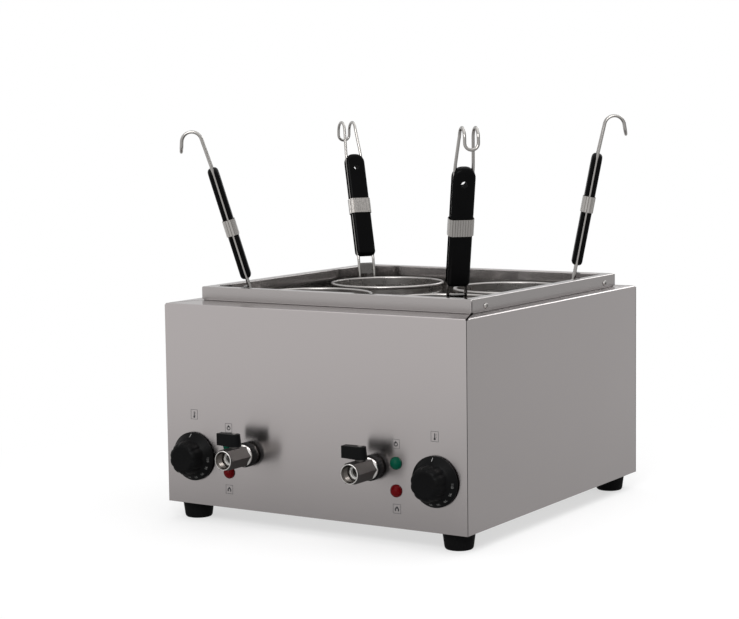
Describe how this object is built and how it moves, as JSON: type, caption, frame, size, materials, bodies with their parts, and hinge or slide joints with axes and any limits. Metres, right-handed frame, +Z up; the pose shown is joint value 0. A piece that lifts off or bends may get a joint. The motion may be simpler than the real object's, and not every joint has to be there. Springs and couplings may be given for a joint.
{
  "type": "pasta cooker",
  "caption": "Counter-top pasta cooker in brushed steel: wells with lift-out baskets on hooked handles, lever drain valves, thermostat knobs and pilot lamps on the front.",
  "frame": {"origin": "on the floor under the middle of the whole outline, from the valve outlets to the cable gland", "axes": "+Z up, front towards -Y, +X to the right of a person facing the front"},
  "size_m": [0.4751, 0.54, 0.5078],
  "materials": {
    "sheet_steel": "brushed stainless sheet",
    "frame_steel": "brushed stainless sheet, folded edges",
    "well_steel": "satin stainless",
    "basket_steel": "bright stainless, perforated",
    "wire_steel": "polished stainless wire and strip",
    "grip_plastic": "black moulded plastic, semi-matt",
    "foot_rubber": "black rubber",
    "screw_steel": "stainless screws",
    "heater_steel": "heater tube, darkened",
    "nickel": "nickel-plated",
    "ball_steel": "polished steel",
    "seat_plastic": "white seat plastic",
    "black_plastic": "black plastic",
    "knob_plastic": "black knob plastic with white marks",
    "case_metal": "plated thermostat case",
    "sensor_copper": "copper bulb and capillary",
    "red_lens": "red lens",
    "green_lens": "green lens",
    "terminal_plastic": "ivory terminal block"
  },
  "bodies": {
    "cabinet": {"front_panel": "sheet_steel", "left_panel": "sheet_steel", "right_panel": "sheet_steel", "back_panel": "sheet_steel", "base_plate": "sheet_steel", "tank_frame": "frame_steel", "divider_cap": "frame_steel", "well_left": "well_steel", "well_right": "well_steel", "grid_left": "well_steel", "grid_right": "well_steel", "feet": "foot_rubber", "foot_screws": "screw_steel", "sheet_screws": "screw_steel", "thermostat_screws": "screw_steel", "heater_left": "heater_steel", "heater_right": "heater_steel", "valve_body_left": "nickel", "valve_body_right": "nickel", "drain_pipes": "nickel", "heater_nuts": "nickel", "valve_seats": "seat_plastic", "valve_lock_rings": "black_plastic", "lamp_nuts": "black_plastic", "cable_gland": "black_plastic", "thermostat_left": "case_metal", "thermostat_right": "case_metal", "sensors": "sensor_copper", "red_lamps": "red_lens", "green_lamps": "green_lens", "terminal_block": "terminal_plastic"},
    "knob_left": {"knob_left": "knob_plastic", "spindle_left": "ball_steel"},
    "knob_right": {"knob_right": "knob_plastic", "spindle_right": "ball_steel"},
    "valve_left": {"valve_lever_left": "black_plastic", "valve_stem_left": "nickel", "valve_ball_left": "ball_steel", "lever_screw_left": "screw_steel"},
    "valve_right": {"valve_lever_right": "black_plastic", "valve_stem_right": "nickel", "valve_ball_right": "ball_steel", "lever_screw_right": "screw_steel"},
    "basket_1": {"basket_1": "basket_steel", "handle_1": "wire_steel", "grip_1": "grip_plastic", "band_1": "wire_steel"},
    "basket_2": {"basket_2": "basket_steel", "handle_2": "wire_steel", "grip_2": "grip_plastic", "band_2": "wire_steel"},
    "basket_3": {"basket_3": "basket_steel", "handle_3": "wire_steel", "grip_3": "grip_plastic", "band_3": "wire_steel"},
    "basket_4": {"basket_4": "basket_steel", "handle_4": "wire_steel", "grip_4": "grip_plastic", "band_4": "wire_steel"}
  },
  "joints": [
    {"name": "knob_left_turn", "type": "hinge", "parent": "cabinet", "child": "knob_left", "pos_m": [-0.1775, -0.231, 0.0835], "axis": [0, 1, 0], "range_deg": [0, 270]},
    {"name": "knob_right_turn", "type": "hinge", "parent": "cabinet", "child": "knob_right", "pos_m": [0.1775, -0.231, 0.0835], "axis": [0, 1, 0], "range_deg": [0, 270]},
    {"name": "valve_left_turn", "type": "hinge", "parent": "cabinet", "child": "valve_left", "pos_m": [-0.092, -0.245, 0.0935], "axis": [0, 0, 1], "range_deg": [0, 90]},
    {"name": "valve_right_turn", "type": "hinge", "parent": "cabinet", "child": "valve_right", "pos_m": [0.092, -0.245, 0.0935], "axis": [0, 0, 1], "range_deg": [0, 90]},
    {"name": "basket_1_lift", "type": "slide", "parent": "cabinet", "child": "basket_1", "axis": [0, 0, 1], "range_m": [0, 0.22]},
    {"name": "basket_2_lift", "type": "slide", "parent": "cabinet", "child": "basket_2", "axis": [0, 0, 1], "range_m": [0, 0.22]},
    {"name": "basket_3_lift", "type": "slide", "parent": "cabinet", "child": "basket_3", "axis": [0, 0, 1], "range_m": [0, 0.22]},
    {"name": "basket_4_lift", "type": "slide", "parent": "cabinet", "child": "basket_4", "axis": [0, 0, 1], "range_m": [0, 0.22]}
  ]
}
